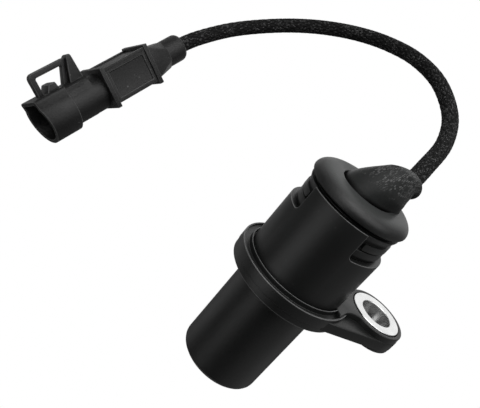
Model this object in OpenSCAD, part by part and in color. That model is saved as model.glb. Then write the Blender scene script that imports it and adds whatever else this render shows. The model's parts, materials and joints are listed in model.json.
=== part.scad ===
// Crankshaft position sensor: flanged sensor head, sheathed lead and latched plug.
// Millimetres. Origin on the flange's mounting face on the nose axis.
// +Z runs along the axis towards the lead, +X towards the fixing lug.

/* [Nose] */
// Diameter of the nose that enters the engine block
nose_d = 18; // [15:0.1:24]
// Length of the nose below the mounting face
nose_len = 24; // [18:0.5:36]
// Radius of the rounded edge at the tip
nose_edge_r = 1.4; // [0.6:0.1:2.4]
// Wall thickness round the nose bore
nose_wall = 1.5; // [1:0.1:2.5]
// Thickness of the closed tip
nose_floor = 1.2; // [0.8:0.1:2]

/* [Flange] */
// Diameter of the round collar
collar_d = 25.9; // [23:0.1:30]
// Height of the collar
collar_h = 3.85; // [3:0.05:6]
// Height of the slightly smaller band at the foot of the collar
skirt_h = 1.5; // [0.8:0.1:2]
// Step in radius between the band and the collar
skirt_step = 0.12; // [0.05:0.01:0.4]
// Diameter of the thin upper ledge
deck_d = 22.6; // [22:0.1:26]
// Height of the upper ledge above the collar
deck_h = 0.5; // [0.4:0.05:1.5]
// Distance from the nose axis to the fixing hole
lug_x = 19.7; // [18:0.1:28]
// Diameter of the rounded lug end
lug_d = 13.6; // [13:0.1:18]
// Height of the lug plate's top beside the boss
web_h = 3.1; // [2.4:0.1:3.6]
// Rise of the lug plate's underside above the mounting face
web_rise = 0.7; // [0.3:0.1:1.2]
// Diameter of the raised boss round the bushing
boss_d = 13.4; // [12.2:0.1:16]
// Width of the raised neck between body and boss
neck_w = 9.6; // [6:0.1:12]
// Outer diameter of the steel bushing
bush_d = 11.3; // [9:0.1:12]
// Bore of the steel bushing
bush_bore_d = 7; // [5:0.1:8.4]
// Stand of the bushing above the boss
bush_proud = 0.15; // [0.05:0.05:0.5]

/* [Body] */
// Outer diameter of the upper body
body_d = 21.6; // [20:0.1:26]
// Height of the body's top rim above the mounting face
body_top = 21.8; // [19.5:0.1:30]
// Wall thickness of the upper body at the retainer
body_wall = 1.35; // [1:0.05:2]
// Inward step that carries the retainer
seat_step = 0.7; // [0.4:0.05:1.2]
// Height of the floor of the two side windows
window_z = 16; // [14:0.1:18]
// Angle covered by each side window
window_arc = 108; // [60:1:130]
// Direction of the first window measured from the lug
window_az = -31; // [-90:1:90]

/* [Boot] */
// Outer diameter of the boot's thick rim
rim_d = 21.6; // [20:0.1:24]
// Height of the rim
rim_h = 2.65; // [2.4:0.05:4.5]
// Radius of the rim's lower edge
rim_r = 0.55; // [0.3:0.05:1.2]
// Reach of the rim's rounded upper shoulder
rim_reach = 2.95; // [1.5:0.05:3.5]
// Height of the rim's underside above the body
rim_gap = 0.7; // [0.2:0.05:1.2]
// Diameter of the hood where it meets the rim
hood_d = 12.3; // [11:0.1:14]
// Radius of the hood's rounded end
hood_r = 3.45; // [3:0.05:4]
// Wall thickness of the hood and plug
boot_wall = 1; // [0.7:0.05:1.2]

/* [Lead] */
// Outer diameter of the braided lead
lead_d = 3.5; // [2.5:0.1:4]
// Diameter of each insulated core
core_d = 1.1; // [0.8:0.05:1.3]
// Half spacing of the two cores
core_gap = 0.75; // [0.7:0.05:1.2]

/* [Plug] */
// Diameter of the open shroud
shroud_d = 9.8; // [9:0.1:13]
// Slant of the open mouth, top edge forward
mouth_tilt = 6; // [0:1:20]
// Slant of the open mouth across the plug
mouth_turn = 4; // [0:1:8]
// Wall of the shroud
shroud_wall = 0.85; // [0.6:0.05:1.4]
// Length of the shroud ring
shroud_len = 6.9; // [5:0.1:10]
// Diameter of the barrel behind the shroud
barrel_d = 8; // [7:0.1:9]
// Length of the barrel
barrel_len = 7.9; // [5:0.1:10]
// Width of the box part
box_w = 9.8; // [8:0.1:13]
// Height of the box part
box_h = 7.7; // [7:0.1:11]
// Length of the box part between the end plates
box_len = 10.5; // [7:0.1:13]
// Thickness of each end plate
plate_t = 1; // [0.6:0.1:1.6]
// Reach of the end plates beyond the box
plate_lip = 0.75; // [0.3:0.05:1.2]
// Depth of the framed side panels
panel_in = 0.3; // [0.1:0.05:0.5]
// Diameter of the rear sleeve
sleeve_d = 6.2; // [5.6:0.1:7.5]
// Length of the rear sleeve
sleeve_len = 4.9; // [4:0.1:9]
// Length of the faceted shoulder between sleeve and box
shoulder_len = 5.4; // [3:0.1:8]
// Width of the keyed flat on top of the shroud
key_w = 7.6; // [5:0.1:8.5]
// Height of the latch loop above the plug axis
loop_z = 9.7; // [8:0.1:13]
// Width of the latch loop bars across the plug
loop_w = 1.9; // [1.2:0.1:3]
// Thickness of the latch loop bars
loop_t = 1.2; // [0.8:0.1:1.8]
// Width of the wedge behind the latch loop
wedge_w = 4.2; // [3:0.1:6]
// Diameter of the two contact pins
pin_d = 1; // [0.8:0.05:1.5]
// Half spacing of the two contact pins
pin_gap = 1.5; // [1.2:0.05:2]

/* [Fits] */
// Clearance between parts that seat in one another
seat_gap = 0.03; // [0.02:0.01:0.08]
// Clearance round the lead where it passes a hole
lead_gap = 0.2; // [0.1:0.05:0.3]

/* [Hidden] */
$fn = 96;
eps = 0.01;
big = 100;

// Derived radii and heights of the head
nose_r = nose_d / 2;
collar_r = collar_d / 2;
web_root_r = collar_r - 0.5;
deck_r = deck_d / 2;
deck_z = collar_h + deck_h;
lug_r = lug_d / 2;
boss_r = boss_d / 2;
bush_r = bush_d / 2;
bush_bore_r = bush_bore_d / 2;
body_r = body_d / 2;
nose_bore_r = nose_r - nose_wall;
cup_r = body_r - body_wall;
seat_r = cup_r - seat_step;
neck_arc_r = 2;
neck_arc_y = neck_w / 2 + neck_arc_r;
neck_arc_x = sqrt(pow(deck_r + neck_arc_r, 2) - pow(neck_arc_y, 2));
tip_z = -nose_len + nose_floor;
cup_z = deck_z + 1;
seat_drop = 0.6;
seat_z = window_z - seat_drop;

// Derived sizes of the pieces inside the nose
pole_r = 1.7;
hub_r = pole_r + 0.9;
spool_r = nose_bore_r - 0.15;
spool_t = 1;
spool_z = tip_z + 0.05;
spool_len = 14.5;
spool_top = spool_z + spool_len;
coil_r = spool_r - 0.8;
magnet_r = 3;
magnet_len = 5.6;
carrier_len = 7;
carrier_top = spool_top + seat_gap + carrier_len;
blade_r = 0.45;
blade_x = 5;
blade_top = window_z - 5.4;
splice_r = 0.95;
splice_len = 3;
fill_top = window_z - 3.6;
disc_t = 1.4;
disc_top = fill_top + seat_gap + disc_t;
core_r = core_d / 2;
splice_top = fill_top - 0.4;
core_foot = blade_top + 0.2;

// Derived sizes of the retainer and boot
ring_r = cup_r - seat_gap;
ring_in_r = ring_r - 1.5;
ring_top = body_top + 0.1;
rib_r = ring_r + 0.45;
rib_root_r = ring_r - 1;
rib_arc = window_arc - 6;
rib_high_arc = window_arc - 10;
slot_h = 0.6;
rib_groove = 0.35;
rib_low_z = window_z + slot_h;
rib_low_h = 1.6;
rib_high_z = rib_low_z + rib_low_h + rib_groove;
rib_high_h = 1.5;
band_r = rib_r + 0.2;
band_z = rib_high_z + rib_high_h + rib_groove;
band_h = body_top - band_z - 0.05;
plug_r = ring_in_r - seat_gap;
plug_low = disc_top + seat_gap;
rim_or = rim_d / 2;
rim_z = body_top + rim_gap;
rim_top = rim_z + rim_h;
shoulder_h = rim_h - rim_r;
shoulder_r = rim_or - rim_reach;
shoulder_z = rim_top - shoulder_h;
hood_base_r = hood_d / 2;
lip_r = hood_base_r - 0.6;
lip_edge = 0.25;
lip_drop = 0.7;
hood_sink = 0.9;
hood_base_at = [1.2, 1.05, rim_top - hood_sink];
hood_bow = 0.3;
hood_pinch = 0.35;
hood_tuck = 1.6;
hood_tuck_az = -48;
hood_tuck_span = [0.15, 0.5];
hood_rows = 10;
hood_sides = 48;
hood_end = [[0.29, 0.97], [0.53, 0.9], [0.69, 0.79], [0.75, 0.66]];
room_neck_r = 4;
room_neck_at = [0.3, 0.2];
room_top_r = 1.55;
room_back = 0.65;
arc_steps = 8;

// Lead route: starts in the hood, arches over and ends inside the plug
lead_r = lead_d / 2;
route = [
    [4.08, -2.1, 30.98], [7.3, 4.1, 33.6], [11.7, 13.8, 37.7], [13, 23.5, 41.5], [10.5, 33.5, 44.3],
    [6, 42, 44.6], [0.5, 48.7, 42.9], [-5.3, 53.8, 40.1], [-11.6, 57.3, 36.4], [-18, 58.8, 32.2],
    [-24.5, 58.2, 27.6], [-30.8, 55.1, 23.1], [-36, 49.6, 19.2], [-39.7, 44, 16], [-43.1, 38.6, 11.2]
];
route_side = [-0.48, -0.19, 0.85];
route_steps = 2;
lead_sides = 8;
core_sides = 8;
exit_from = route[0];
exit_to = route[1];
exit_dir = (exit_to - exit_from) / norm(exit_to - exit_from);
hood_at = [3.25, -1.95, 30.9];
hood_axis_at = exit_from + exit_dir * ((hood_at - exit_from) * exit_dir);
hood_face = (exit_dir + [0, 0, 0.5]) / norm(exit_dir + [0, 0, 0.5]);
hole_lead_in = 0.3;
hole_len = 12;
core_stop = 0.6;
core_lead_in = 0.35;
core_bend_x = 3;
core_mid_x = 2;

// Plug frame: x towards the open mouth, z towards the latch loop
plug_at = [-39.7, 44, 16];
plug_turn = [47.85, 37.3, -122.6];
sleeve_r = sleeve_d / 2;
sleeve_edge = 1.1;
shoulder_in = 0.6;
frame_end = 0.9;
frame_edge = 0.95;
sleeve_x = 1.3;
shoulder_x = sleeve_x + sleeve_len;
rear_x = shoulder_x + shoulder_len;
box_x = rear_x + plate_t;
front_x = box_x + box_len;
barrel_x = front_x + plate_t;
ring_x = barrel_x + barrel_len;
mouth_x = ring_x + shroud_len;
box_z = 0.3;
plate_w = box_w + plate_lip;
plate_h = box_h + 2 * plate_lip;
shroud_r = shroud_d / 2;
barrel_r = barrel_d / 2;
key_z = shroud_r + 0.05;
key_top_w = 5.4;
key_x = barrel_x + 2.2;
cave_x = ring_x - 4.6;
cave_r = shroud_r - shroud_wall;
mouth_reach = mouth_x + key_z * tan(mouth_tilt) + shroud_r * tan(mouth_turn);
room_x = rear_x + 1.4;
room_end = front_x - 0.6;
room_w = box_w - 2 * panel_in - 2 * boot_wall;
room_h = box_h - 2 * boot_wall;
lock_x = front_x - 2.2;
lock_t = 1.2;
seal_r = sleeve_r - 0.7;
seal_in_r = lead_r + lead_gap;
seal_x = sleeve_x + 1.4;
seal_len = 3.4;
pin_tail_x = front_x - 4.4;
pin_tip_x = mouth_x - 5.5;
pin_r = pin_d / 2;
pin_nib = 0.5;
crimp_r = core_r + 0.25;
crimp_len = 2;
crimp_bore = 1.6;
tail_end = 1.4;
tail_lead_in = 2;
lead_end_x = 8;
leg_x = mouth_x - 2;
wedge_x = key_x + 1.7;
ramp_x = ring_x + 0.4;
latch_root = 0.4;
latch_lean = 1.9;
wedge_t = 1.3;
wedge_rise = 0.3;
ramp_w = wedge_w + 0.4;
ramp_len = 3.1;
ramp_slope = 1.2;
ramp_h = 1.9;

// Point on a smooth curve through the list p, u counted in points
function clamp_i(i, n) = max(0, min(n - 1, i));
function curve_at(p, i, s) =
    let (n = len(p))
    let (a = p[clamp_i(i - 1, n)])
    let (b = p[clamp_i(i, n)])
    let (c = p[clamp_i(i + 1, n)])
    let (d = p[clamp_i(i + 2, n)])
    0.5 * (2 * b + (c - a) * s + (2 * a - 5 * b + 4 * c - d) * s * s + (3 * b - a - 3 * c + d) * s * s * s);
function curve(p, steps) = concat(
    [for (i = [0 : len(p) - 2]) for (k = [0 : steps - 1]) curve_at(p, i, k / steps)],
    [p[len(p) - 1]]
);
function unit(v) = v / norm(v);
function heading(p, i) = unit(p[clamp_i(i + 1, len(p))] - p[clamp_i(i - 1, len(p))]);
function ring_at(p, i, r, sides, side) =
    let (t = heading(p, i))
    let (b = unit(cross(t, side)))
    let (c = cross(b, t))
    [for (k = [0 : sides - 1]) p[i] + r * (cos(360 * k / sides) * b + sin(360 * k / sides) * c)];

// Closed solid through a list of rings with the same number of points
module loft(rings) {
    n = len(rings);
    sides = len(rings[0]);
    lower = [
        for (i = [0 : n - 2]) for (k = [0 : sides - 1])
            let (m = (k + 1) % sides)
                [i * sides + k, i * sides + m, (i + 1) * sides + m]
    ];
    upper = [
        for (i = [0 : n - 2]) for (k = [0 : sides - 1])
            let (m = (k + 1) % sides)
                [i * sides + k, (i + 1) * sides + m, (i + 1) * sides + k]
    ];
    start_cap = [[for (k = [0 : sides - 1]) sides - 1 - k]];
    end_cap = [[for (k = [0 : sides - 1]) (n - 1) * sides + k]];
    polyhedron(
        points = [for (ring = rings) each ring],
        faces = concat(lower, upper, start_cap, end_cap),
        convexity = 8
    );
}

// Round tube along a list of points
module tube(p, r, sides, side) {
    loft([for (i = [0 : len(p) - 1]) ring_at(p, i, r, sides, side)]);
}

// Places children in the plug's own frame
module in_plug() {
    translate(plug_at) rotate(plug_turn) children();
}

// Cylinder along +X from x0, length l
module along_x(x0, l, r) {
    translate([x0, 0, 0]) rotate([0, 90, 0]) cylinder(r = r, h = l);
}

// Block centred on y and on height zc, from x0 with length l
module slab(x0, l, w, h, zc) {
    translate([x0, -w / 2, zc - h / 2]) cube([l, w, h]);
}

// Profile drawn in the plug's x and z, centred across it
module rib_profile(w, p) {
    rotate([90, 0, 0]) linear_extrude(height = w, center = true) polygon(p);
}

// Part of a ring between two radii, centred on direction az
module arc_block(r0, r1, z0, h, az, arc) {
    rotate([0, 0, az - arc / 2])
        rotate_extrude(angle = arc)
            translate([r0, z0]) square([r1 - r0, h]);
}

// Flat plate bounded by two circles and their outer tangents
module tangent_plate(r1, r2, d, h) {
    c = (r1 - r2) / d;
    s = sqrt(1 - c * c);
    cylinder(r = r1, h = h);
    translate([d, 0, 0]) cylinder(r = r2, h = h);
    linear_extrude(height = h)
        polygon([[r1 * c, r1 * s], [r1 * c, -r1 * s], [d + r2 * c, -r2 * s], [d + r2 * c, r2 * s]]);
}

// Nose with its rounded tip edge
module nose_solid() {
    translate([0, 0, nose_edge_r - nose_len])
        cylinder(r = nose_r, h = nose_len - nose_edge_r + eps);
    translate([0, 0, -nose_len])
        cylinder(r = nose_r - nose_edge_r, h = nose_edge_r + eps);
    translate([0, 0, nose_edge_r - nose_len])
        rotate_extrude() translate([nose_r - nose_edge_r, 0]) circle(r = nose_edge_r);
}

// Collar, lug plate, raised neck and boss
module flange_solid() {
    cylinder(r = collar_r - skirt_step, h = collar_h);
    translate([0, 0, skirt_h]) cylinder(r = collar_r, h = collar_h - skirt_h);
    cylinder(r = deck_r, h = deck_z);
    translate([0, 0, web_rise]) tangent_plate(web_root_r, lug_r, lug_x, web_h - web_rise);
    translate([lug_x, 0, 0]) cylinder(r = boss_r, h = deck_z);
    translate([0, -neck_w / 2, 0]) cube([lug_x, neck_w, deck_z]);
    linear_extrude(height = deck_z) for (s = [-1, 1]) difference() {
        polygon([[0, 0], [neck_arc_x, 0], [neck_arc_x, s * neck_arc_y]]);
        translate([neck_arc_x, s * neck_arc_y]) circle(r = neck_arc_r);
    }
}

module sensor_housing() {
    color([0.13, 0.13, 0.13]) difference() {
        union() {
            nose_solid();
            flange_solid();
            cylinder(r = body_r, h = body_top);
        }
        translate([0, 0, tip_z]) cylinder(r = nose_bore_r, h = big);
        translate([0, 0, cup_z]) cylinder(r = seat_r, h = big);
        translate([0, 0, seat_z]) cylinder(r = cup_r, h = big);
        translate([lug_x, 0, -eps]) cylinder(r = bush_r + seat_gap, h = big);
        for (turn = [0, 180])
            arc_block(cup_r - seat_step / 2, body_r + body_wall, window_z, big, window_az + turn, window_arc);
    }
}

module lug_bushing() {
    color([0.8, 0.81, 0.82]) translate([lug_x, 0, 0]) difference() {
        cylinder(r = bush_r, h = deck_z + bush_proud);
        translate([0, 0, -eps]) cylinder(r = bush_bore_r, h = big);
    }
}

module pole_piece() {
    color([0.6, 0.6, 0.62]) translate([0, 0, spool_z]) cylinder(r = pole_r, h = spool_len);
}

module coil_bobbin() {
    color([0.2, 0.2, 0.2]) difference() {
        translate([0, 0, spool_z]) union() {
            cylinder(r = hub_r, h = spool_len);
            cylinder(r = spool_r, h = spool_t);
            translate([0, 0, spool_len - spool_t]) cylinder(r = spool_r, h = spool_t);
        }
        translate([0, 0, spool_z - eps]) cylinder(r = pole_r + seat_gap, h = big);
        for (x = [-blade_x, blade_x])
            translate([x, 0, spool_top - spool_t - eps]) cylinder(r = blade_r + seat_gap, h = big);
    }
}

module coil_winding() {
    color([0.72, 0.38, 0.18]) translate([0, 0, spool_z + spool_t + seat_gap]) difference() {
        cylinder(r = coil_r, h = spool_len - 2 * spool_t - 2 * seat_gap);
        translate([0, 0, -eps]) cylinder(r = hub_r + seat_gap, h = big);
    }
}

module bar_magnet() {
    color([0.35, 0.35, 0.38]) translate([0, 0, spool_top + seat_gap]) cylinder(r = magnet_r, h = magnet_len);
}

module magnet_carrier() {
    color([0.17, 0.17, 0.17]) difference() {
        translate([0, 0, spool_top + seat_gap]) cylinder(r = spool_r, h = carrier_len);
        translate([0, 0, spool_top]) cylinder(r = magnet_r + seat_gap, h = magnet_len + 2 * seat_gap);
        for (x = [-blade_x, blade_x])
            translate([x, 0, spool_top]) cylinder(r = blade_r + seat_gap, h = big);
    }
}

// Upright terminal blade on side s
module blade(s) {
    z0 = spool_top - spool_t + seat_gap;
    color([0.78, 0.66, 0.35]) translate([s * blade_x, 0, z0]) cylinder(r = blade_r, h = blade_top - z0);
}

module blade_left() {
    blade(-1);
}

module blade_right() {
    blade(1);
}

module potting_fill() {
    z0 = carrier_top + seat_gap;
    color([0.1, 0.1, 0.1]) difference() {
        union() {
            translate([0, 0, z0]) cylinder(r = nose_bore_r - seat_gap, h = cup_z + 2 * seat_gap - z0);
            translate([0, 0, cup_z + seat_gap])
                cylinder(r = seat_r - seat_gap, h = fill_top - cup_z - seat_gap);
        }
        for (s = [-1, 1]) {
            translate([s * blade_x, 0, z0 - eps]) cylinder(r = blade_r + seat_gap, h = big);
            translate([s * blade_x, 0, blade_top - splice_len]) cylinder(r = splice_r + seat_gap, h = big);
        }
    }
}

// Crimped splice between blade and core on side s
module splice(s) {
    h = splice_top - blade_top + splice_len;
    color([0.75, 0.75, 0.76]) translate([s * blade_x, 0, blade_top - splice_len + seat_gap]) difference() {
        cylinder(r = splice_r, h = h);
        translate([0, 0, -eps]) cylinder(r = blade_r + seat_gap, h = splice_len + 2 * eps);
        translate([0, 0, splice_len]) cylinder(r = core_r + seat_gap, h = big);
    }
}

module splice_left() {
    splice(-1);
}

module splice_right() {
    splice(1);
}

module seal_disc() {
    color([0.15, 0.15, 0.15]) difference() {
        translate([0, 0, fill_top + seat_gap]) cylinder(r = seat_r - seat_gap, h = disc_t);
        for (s = [-1, 1])
            translate([s * blade_x, 0, 0]) cylinder(r = core_r + lead_gap, h = big);
    }
}

// Insulated core from a splice up into the hood on side s
module head_core(s) {
    across = unit(cross(exit_dir, [0, 0, 1]));
    end = exit_from - exit_dir * core_stop + s * core_gap * across;
    color([0.3, 0.3, 0.3]) tube(
        curve([
            [s * blade_x, 0, core_foot], [s * blade_x, 0, fill_top], [s * blade_x, 0, disc_top + core_d],
            [s * core_bend_x, 0, body_top], [core_mid_x + s * core_d, -core_d, rim_top],
            end - exit_dir * core_lead_in, end
        ], 2),
        core_r, core_sides, [0, 1, 0.2]
    );
}

module core_left() {
    head_core(-1);
}

module core_right() {
    head_core(1);
}

// Ring that holds the boot, with a ribbed tongue in each window
module boot_retainer() {
    color([0.15, 0.15, 0.15]) difference() {
        union() {
            translate([0, 0, seat_z + seat_gap]) cylinder(r = ring_r, h = ring_top - seat_z - seat_gap);
            for (turn = [0, 180]) {
                arc_block(rib_root_r, rib_r, rib_low_z, rib_low_h, window_az + turn, rib_arc);
                arc_block(rib_root_r, rib_r, rib_high_z, rib_high_h, window_az + turn, rib_high_arc);
                arc_block(rib_root_r, band_r, band_z, band_h, window_az + turn, rib_arc);
            }
        }
        cylinder(r = ring_in_r, h = big);
    }
}

// Outline of the rim from its underside over the rounded shoulder to the lip round the hood
rim_outline = concat(
    [[0, rim_z], [rim_or - rim_r, rim_z]],
    [for (k = [1 : arc_steps]) let (a = 90 * k / arc_steps)
        [rim_or - rim_r + rim_r * sin(a), rim_z + rim_r - rim_r * cos(a)]],
    [for (k = [0 : arc_steps]) let (a = 90 * k / arc_steps)
        [shoulder_r + rim_reach * cos(a), shoulder_z + shoulder_h * sin(a)]],
    [for (k = [0 : arc_steps]) let (a = 90 * k / arc_steps)
        [lip_r + lip_edge - lip_edge * sin(a), rim_top - lip_edge + lip_edge * cos(a)]],
    [[lip_r, rim_top - lip_drop], [0, rim_top - lip_drop]]
);

// Unit circle point at angle a, leaned by the least turn that takes +Z to d
function leaned(a, d) =
    let (v = [cos(a), sin(a), 0])
    let (k = cross([0, 0, 1], d))
    v * d[2] + cross(k, v) + k * (k * v) / (1 + d[2]);

// Share of the tuck that is left at share t of the way up the hood
function tuck_left(t) =
    let (u = min(max((t - hood_tuck_span[0]) / (hood_tuck_span[1] - hood_tuck_span[0]), 0), 1))
    1 - u * u * (3 - 2 * u);

// Ring of the hood at share t of the way from the rim to its rounded end
function hood_ring(t) =
    let (centre = (1 - t) * hood_base_at + t * hood_at)
    [for (i = [0 : hood_sides - 1])
        let (a = -360 * i / hood_sides)
        let (out = (1 - t) * hood_base_r * leaned(a, [0, 0, 1]) + t * hood_r * leaned(a, hood_face))
        let (bow = sin(180 * t) * (hood_bow - hood_pinch * cos(a)))
        let (tuck = hood_tuck * tuck_left(t) * pow(max(cos(a - hood_tuck_az), 0), 3))
        centre + out + unit(out) * (bow - tuck)];

// Ring of the hood's rounded end, f along the lead
function hood_end_ring(f, r) =
    let (u = f / hood_end[len(hood_end) - 1][0])
    let (face = unit((1 - u) * hood_face + u * exit_dir))
    let (centre = (1 - u) * hood_at + u * hood_axis_at + f * exit_dir)
    [for (i = [0 : hood_sides - 1]) centre + r * leaned(-360 * i / hood_sides, face)];

// Rubber boot: plug, thick rounded rim and hood leaning over to the lead
module cable_boot() {
    color([0.2, 0.2, 0.2]) difference() {
        union() {
            translate([0, 0, plug_low]) cylinder(r = plug_r, h = rim_z + rim_r - plug_low);
            rotate_extrude() polygon(rim_outline);
            loft(concat(
                [for (i = [0 : hood_rows]) hood_ring(i / hood_rows)],
                [for (e = hood_end) hood_end_ring(e[0], e[1] * hood_r)]
            ));
        }
        translate([0, 0, plug_low - eps]) cylinder(r = plug_r - boot_wall, h = rim_z - plug_low);
        hull() {
            translate([room_neck_at[0], room_neck_at[1], rim_z - boot_wall])
                cylinder(r = room_neck_r, h = boot_wall, $fn = 48);
            translate(exit_from - exit_dir * room_back) sphere(r = room_top_r, $fn = 24);
        }
        translate(exit_from - exit_dir * hole_lead_in) multmatrix(turn_to(exit_dir))
            cylinder(r = lead_r + lead_gap, h = hole_len, $fn = 48);
    }
}

// Turns +Z to the direction d
function turn_to(d) =
    let (a = unit(cross([0, 0, 1], d)))
    let (b = cross(d, a))
    [[a[0], b[0], d[0], 0], [a[1], b[1], d[1], 0], [a[2], b[2], d[2], 0], [0, 0, 0, 1]];

module lead_cable() {
    color([0.16, 0.16, 0.16]) tube(curve(route, route_steps), lead_r, lead_sides, route_side);
}

// Rear sleeve with a rounded end
module sleeve_solid() {
    along_x(sleeve_x + sleeve_edge, sleeve_len - sleeve_edge + eps, sleeve_r);
    along_x(sleeve_x, sleeve_edge + eps, sleeve_r - sleeve_edge);
    translate([sleeve_x + sleeve_edge, 0, 0]) rotate([0, 90, 0])
        rotate_extrude() translate([sleeve_r - sleeve_edge, 0]) circle(r = sleeve_edge);
}

// Box with its two end plates and framed side panels
module box_solid() {
    difference() {
        slab(rear_x, barrel_x - rear_x, box_w, box_h, box_z);
        for (s = [-1, 1])
            translate([0, s * box_w / 2, 0])
                slab(box_x + frame_end, box_len - 2 * frame_end, 2 * panel_in, box_h - 2 * frame_edge, box_z);
    }
    slab(rear_x, plate_t, plate_w, plate_h, box_z);
    slab(front_x, plate_t, plate_w, plate_h, box_z);
}

// Latch loop, wedge and ramp that stand on the keyed flat
module latch_solid() {
    low = key_z - latch_root;
    rib_profile(loop_w, [[leg_x, low], [leg_x, loop_z], [leg_x - loop_t, loop_z], [leg_x - loop_t, low]]);
    rib_profile(loop_w, [
        [wedge_x, loop_z - loop_t], [leg_x, loop_z - loop_t], [leg_x, loop_z], [wedge_x, loop_z]
    ]);
    rib_profile(loop_w, [
        [wedge_x + latch_lean, low], [wedge_x + latch_lean + loop_t, low],
        [wedge_x + loop_t, loop_z], [wedge_x, loop_z]
    ]);
    translate([0, (wedge_w - loop_w) / 4, 0]) rib_profile((wedge_w + loop_w) / 2, [
        [wedge_x - wedge_t, low], [wedge_x + latch_lean, low],
        [wedge_x, loop_z + wedge_rise], [wedge_x - wedge_t + wedge_rise, loop_z + wedge_rise]
    ]);
    rib_profile(ramp_w, [
        [ramp_x, low], [ramp_x + ramp_len, low],
        [ramp_x + ramp_len - ramp_slope, low + ramp_h], [ramp_x + latch_root, low + ramp_h]
    ]);
}

module plug_shell() {
    color([0.17, 0.17, 0.17]) in_plug() difference() {
        union() {
            sleeve_solid();
            hull() {
                rotate([22.5, 0, 0]) along_x(shoulder_x - eps, eps, sleeve_r / cos(22.5), $fn = 8);
                slab(rear_x, eps, box_w - shoulder_in, box_h - shoulder_in, box_z);
            }
            hull() {
                along_x(key_x, ring_x - key_x + eps, barrel_r);
                slab(key_x, ring_x - key_x + eps, key_top_w, eps, key_z - eps);
            }
            box_solid();
            along_x(front_x, barrel_len + plate_t + 1, barrel_r);
            along_x(ring_x, mouth_reach - ring_x, shroud_r);
            slab(ring_x, mouth_reach - ring_x, key_w, key_z, key_z / 2);
            latch_solid();
        }
        translate([mouth_x, 0, 0]) rotate([0, mouth_tilt, mouth_turn]) slab(0, big, big, big, 0);
        along_x(cave_x, big, cave_r);
        slab(cave_x, big, key_w - 2 * shroud_wall, key_z - shroud_wall, (key_z - shroud_wall) / 2);
        slab(room_x, room_end - room_x, room_w, room_h, box_z);
        along_x(-eps, room_x + 2 * eps, lead_r + lead_gap);
        along_x(seal_x, seal_len, seal_r);
        for (s = [-1, 1])
            translate([0, s * pin_gap, 0])
                along_x(room_end - eps, cave_x - room_end + 2 * eps, pin_r + seat_gap);
    }
}

module wire_seal() {
    color([0.5, 0.2, 0.12]) in_plug() difference() {
        along_x(seal_x + seat_gap, seal_len - 2 * seat_gap, seal_r - seat_gap);
        along_x(-eps, big, seal_in_r);
    }
}

// Contact pin with a crimped tail on side s
module contact(s) {
    color([0.82, 0.72, 0.45]) in_plug() translate([0, s * pin_gap, 0]) {
        along_x(pin_tail_x + crimp_len, pin_tip_x - pin_tail_x - crimp_len, pin_r);
        translate([pin_tip_x - eps, 0, 0]) rotate([0, 90, 0])
            cylinder(r1 = pin_r, r2 = pin_r / 2, h = pin_nib);
        difference() {
            along_x(pin_tail_x, crimp_len + eps, crimp_r);
            along_x(pin_tail_x - eps, crimp_bore, core_r + seat_gap);
        }
    }
}

module contact_left() {
    contact(-1);
}

module contact_right() {
    contact(1);
}

// Lock plate that keeps both contacts in the box
module contact_lock() {
    color([0.45, 0.45, 0.45]) in_plug() difference() {
        slab(lock_x, lock_t, room_w - 2 * seat_gap, room_h - 2 * seat_gap, box_z);
        for (s = [-1, 1])
            translate([0, s * pin_gap, 0]) along_x(0, big, pin_r + seat_gap);
    }
}

// Insulated core from the lead's end to a contact on side s
module tail(s) {
    color([0.3, 0.3, 0.3]) in_plug() tube(
        curve([
            [lead_end_x + lead_gap, s * core_gap, 0], [lead_end_x + tail_lead_in, s * core_gap, 0],
            [pin_tail_x - tail_lead_in, s * pin_gap, 0], [pin_tail_x - lead_gap, s * pin_gap, 0],
            [pin_tail_x + tail_end, s * pin_gap, 0]
        ], 2),
        core_r, core_sides, [0, 0, 1]
    );
}

module tail_left() {
    tail(-1);
}

module tail_right() {
    tail(1);
}

sensor_housing();
lug_bushing();
pole_piece();
coil_bobbin();
coil_winding();
bar_magnet();
magnet_carrier();
blade_left();
blade_right();
potting_fill();
seal_disc();
splice_left();
splice_right();
core_left();
core_right();
boot_retainer();
cable_boot();
lead_cable();
plug_shell();
wire_seal();
contact_left();
contact_right();
contact_lock();
tail_left();
tail_right();
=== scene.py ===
import json
import math

import bmesh
import bpy
from mathutils import Euler, Matrix, Vector


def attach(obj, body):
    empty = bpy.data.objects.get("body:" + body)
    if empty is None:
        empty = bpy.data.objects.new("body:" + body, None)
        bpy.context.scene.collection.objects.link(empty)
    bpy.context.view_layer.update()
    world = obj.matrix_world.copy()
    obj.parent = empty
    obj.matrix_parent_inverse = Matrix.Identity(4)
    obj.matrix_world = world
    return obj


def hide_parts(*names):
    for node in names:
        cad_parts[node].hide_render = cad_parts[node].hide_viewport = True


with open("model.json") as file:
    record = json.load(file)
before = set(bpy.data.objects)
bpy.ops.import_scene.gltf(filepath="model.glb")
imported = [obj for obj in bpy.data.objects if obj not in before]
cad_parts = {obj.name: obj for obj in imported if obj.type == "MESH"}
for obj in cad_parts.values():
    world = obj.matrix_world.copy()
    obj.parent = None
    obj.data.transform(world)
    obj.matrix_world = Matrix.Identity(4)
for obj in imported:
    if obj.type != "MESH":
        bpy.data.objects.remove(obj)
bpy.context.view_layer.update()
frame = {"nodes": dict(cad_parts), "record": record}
scene = bpy.context.scene
mm = 0.001


# Camera at the photo's viewpoint, fitted to the outline of the part

camera = {
    "place": (-48.70, -106.49, 58.31),    # mm, in the part's frame
    "turn": (60.39, -34.89, 1.71),        # degrees
    "focalPixels": 650,
    "frameWidth": 480,
    "sensor": 36,
    "clip": (0.005, 20),                  # m
}


def turned(angles):
    return Euler([math.radians(a) for a in angles], "XYZ").to_matrix()


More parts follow.
